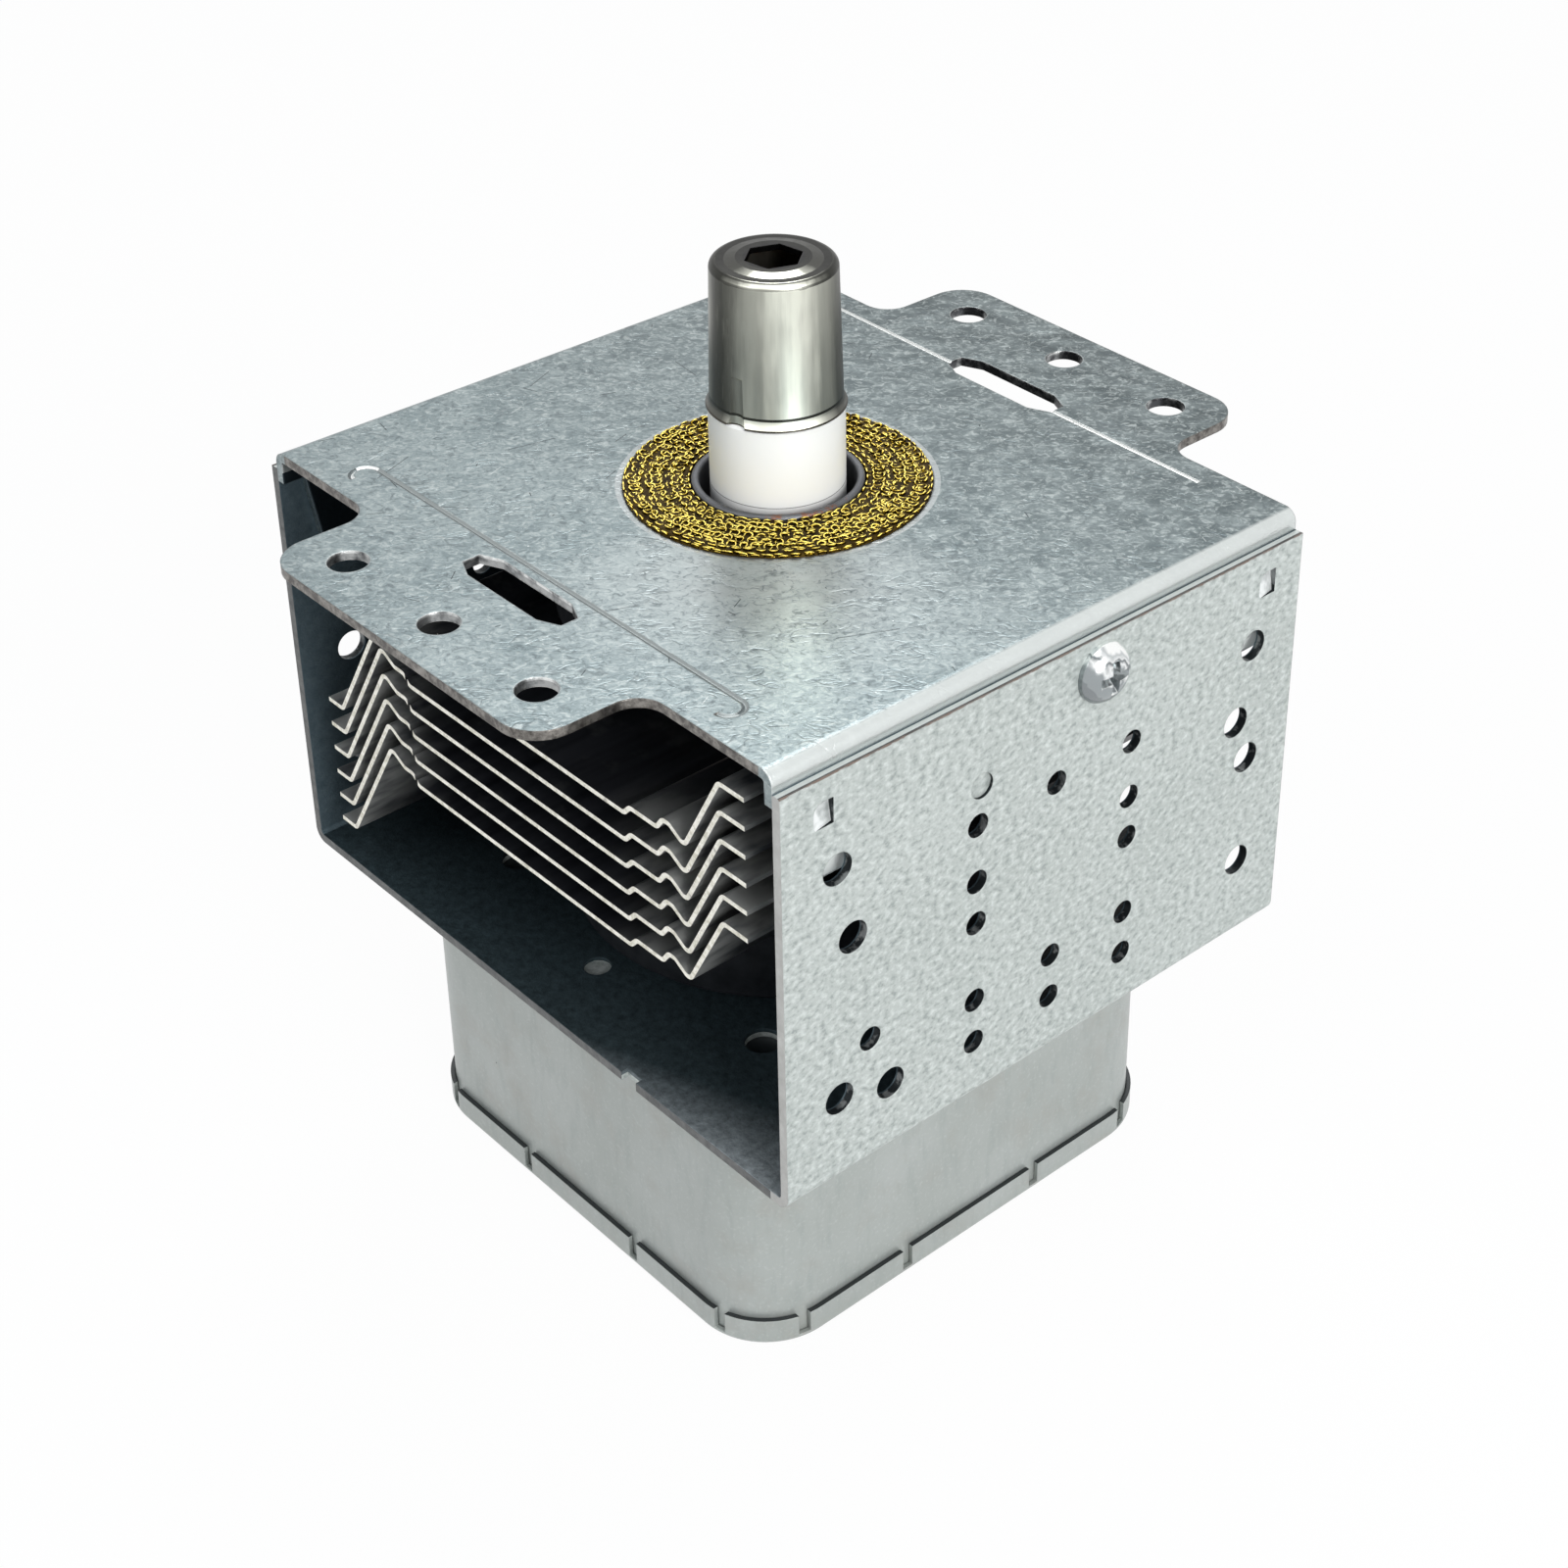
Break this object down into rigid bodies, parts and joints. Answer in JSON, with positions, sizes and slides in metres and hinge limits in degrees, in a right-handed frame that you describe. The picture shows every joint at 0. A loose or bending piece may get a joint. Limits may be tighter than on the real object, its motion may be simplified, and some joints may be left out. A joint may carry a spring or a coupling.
{
  "type": "magnetron",
  "caption": "Air-cooled microwave oven magnetron: antenna cap and gasket on a flanged yoke with fins and magnets, over a square filter box.",
  "frame": {"origin": "antenna axis at the mounting face, which is the upper face of the flanged plate", "axes": "+Z along the antenna, away from the filter box; +X across the closed walls, towards the wall whose screw is nearer the back; +Y along the cooling air, from one open side and ear to the other"},
  "size_m": [0.1006, 0.1088, 0.1234],
  "materials": {
    "galvanised_sheet": "satin zinc coat with a blue cast",
    "zinc_sheet": "spangled zinc coat",
    "zinc_screw": "bright plated",
    "ferrite": "dull dark",
    "copper": "clean copper",
    "pole_iron": "plain",
    "collar_steel": "dull grey",
    "alumina": "smooth",
    "cap_steel": "drawn, satin",
    "gasket_mesh": "knitted wire",
    "tungsten": "dark",
    "terminal_metal": "tin plated",
    "fin_aluminium": "mill finish",
    "filter_sheet": "smooth zinc coat",
    "capacitor_moulding": "pale moulding",
    "choke_wire": "enamelled copper",
    "choke_core": "dark ferrite"
  },
  "bodies": {
    "root": {"upper_yoke": "galvanised_sheet", "lower_yoke": "zinc_sheet", "yoke_screws": "zinc_screw", "upper_magnet": "ferrite", "lower_magnet": "ferrite", "anode_cylinder": "copper", "anode_vane_1": "copper", "anode_vane_2": "copper", "anode_vane_3": "copper", "anode_vane_4": "copper", "anode_vane_5": "copper", "anode_vane_6": "copper", "anode_vane_7": "copper", "anode_vane_8": "copper", "anode_vane_9": "copper", "anode_vane_10": "copper", "upper_inner_strap": "copper", "upper_outer_strap": "copper", "lower_inner_strap": "copper", "lower_outer_strap": "copper", "exhaust_tube": "copper", "antenna_lead": "copper", "upper_pole_piece": "pole_iron", "lower_pole_piece": "pole_iron", "output_seal": "collar_steel", "input_seal": "collar_steel", "antenna_ceramic": "alumina", "stem_ceramic": "alumina", "antenna_cap": "cap_steel", "rf_gasket": "gasket_mesh", "filament": "tungsten", "upper_end_hat": "tungsten", "lower_end_hat": "tungsten", "centre_lead": "tungsten", "side_lead": "tungsten", "centre_terminal": "terminal_metal", "side_terminal": "terminal_metal", "front_blade": "terminal_metal", "back_blade": "terminal_metal", "capacitor_rivets": "terminal_metal", "fin_1": "fin_aluminium", "fin_2": "fin_aluminium", "fin_3": "fin_aluminium", "fin_4": "fin_aluminium", "fin_5": "fin_aluminium", "fin_6": "fin_aluminium", "filter_box": "filter_sheet", "filter_lid": "filter_sheet", "capacitor_plate": "filter_sheet", "capacitor_body": "capacitor_moulding", "front_choke_coil": "choke_wire", "back_choke_coil": "choke_wire", "front_choke_core": "choke_core", "back_choke_core": "choke_core"}
  },
  "joints": []
}
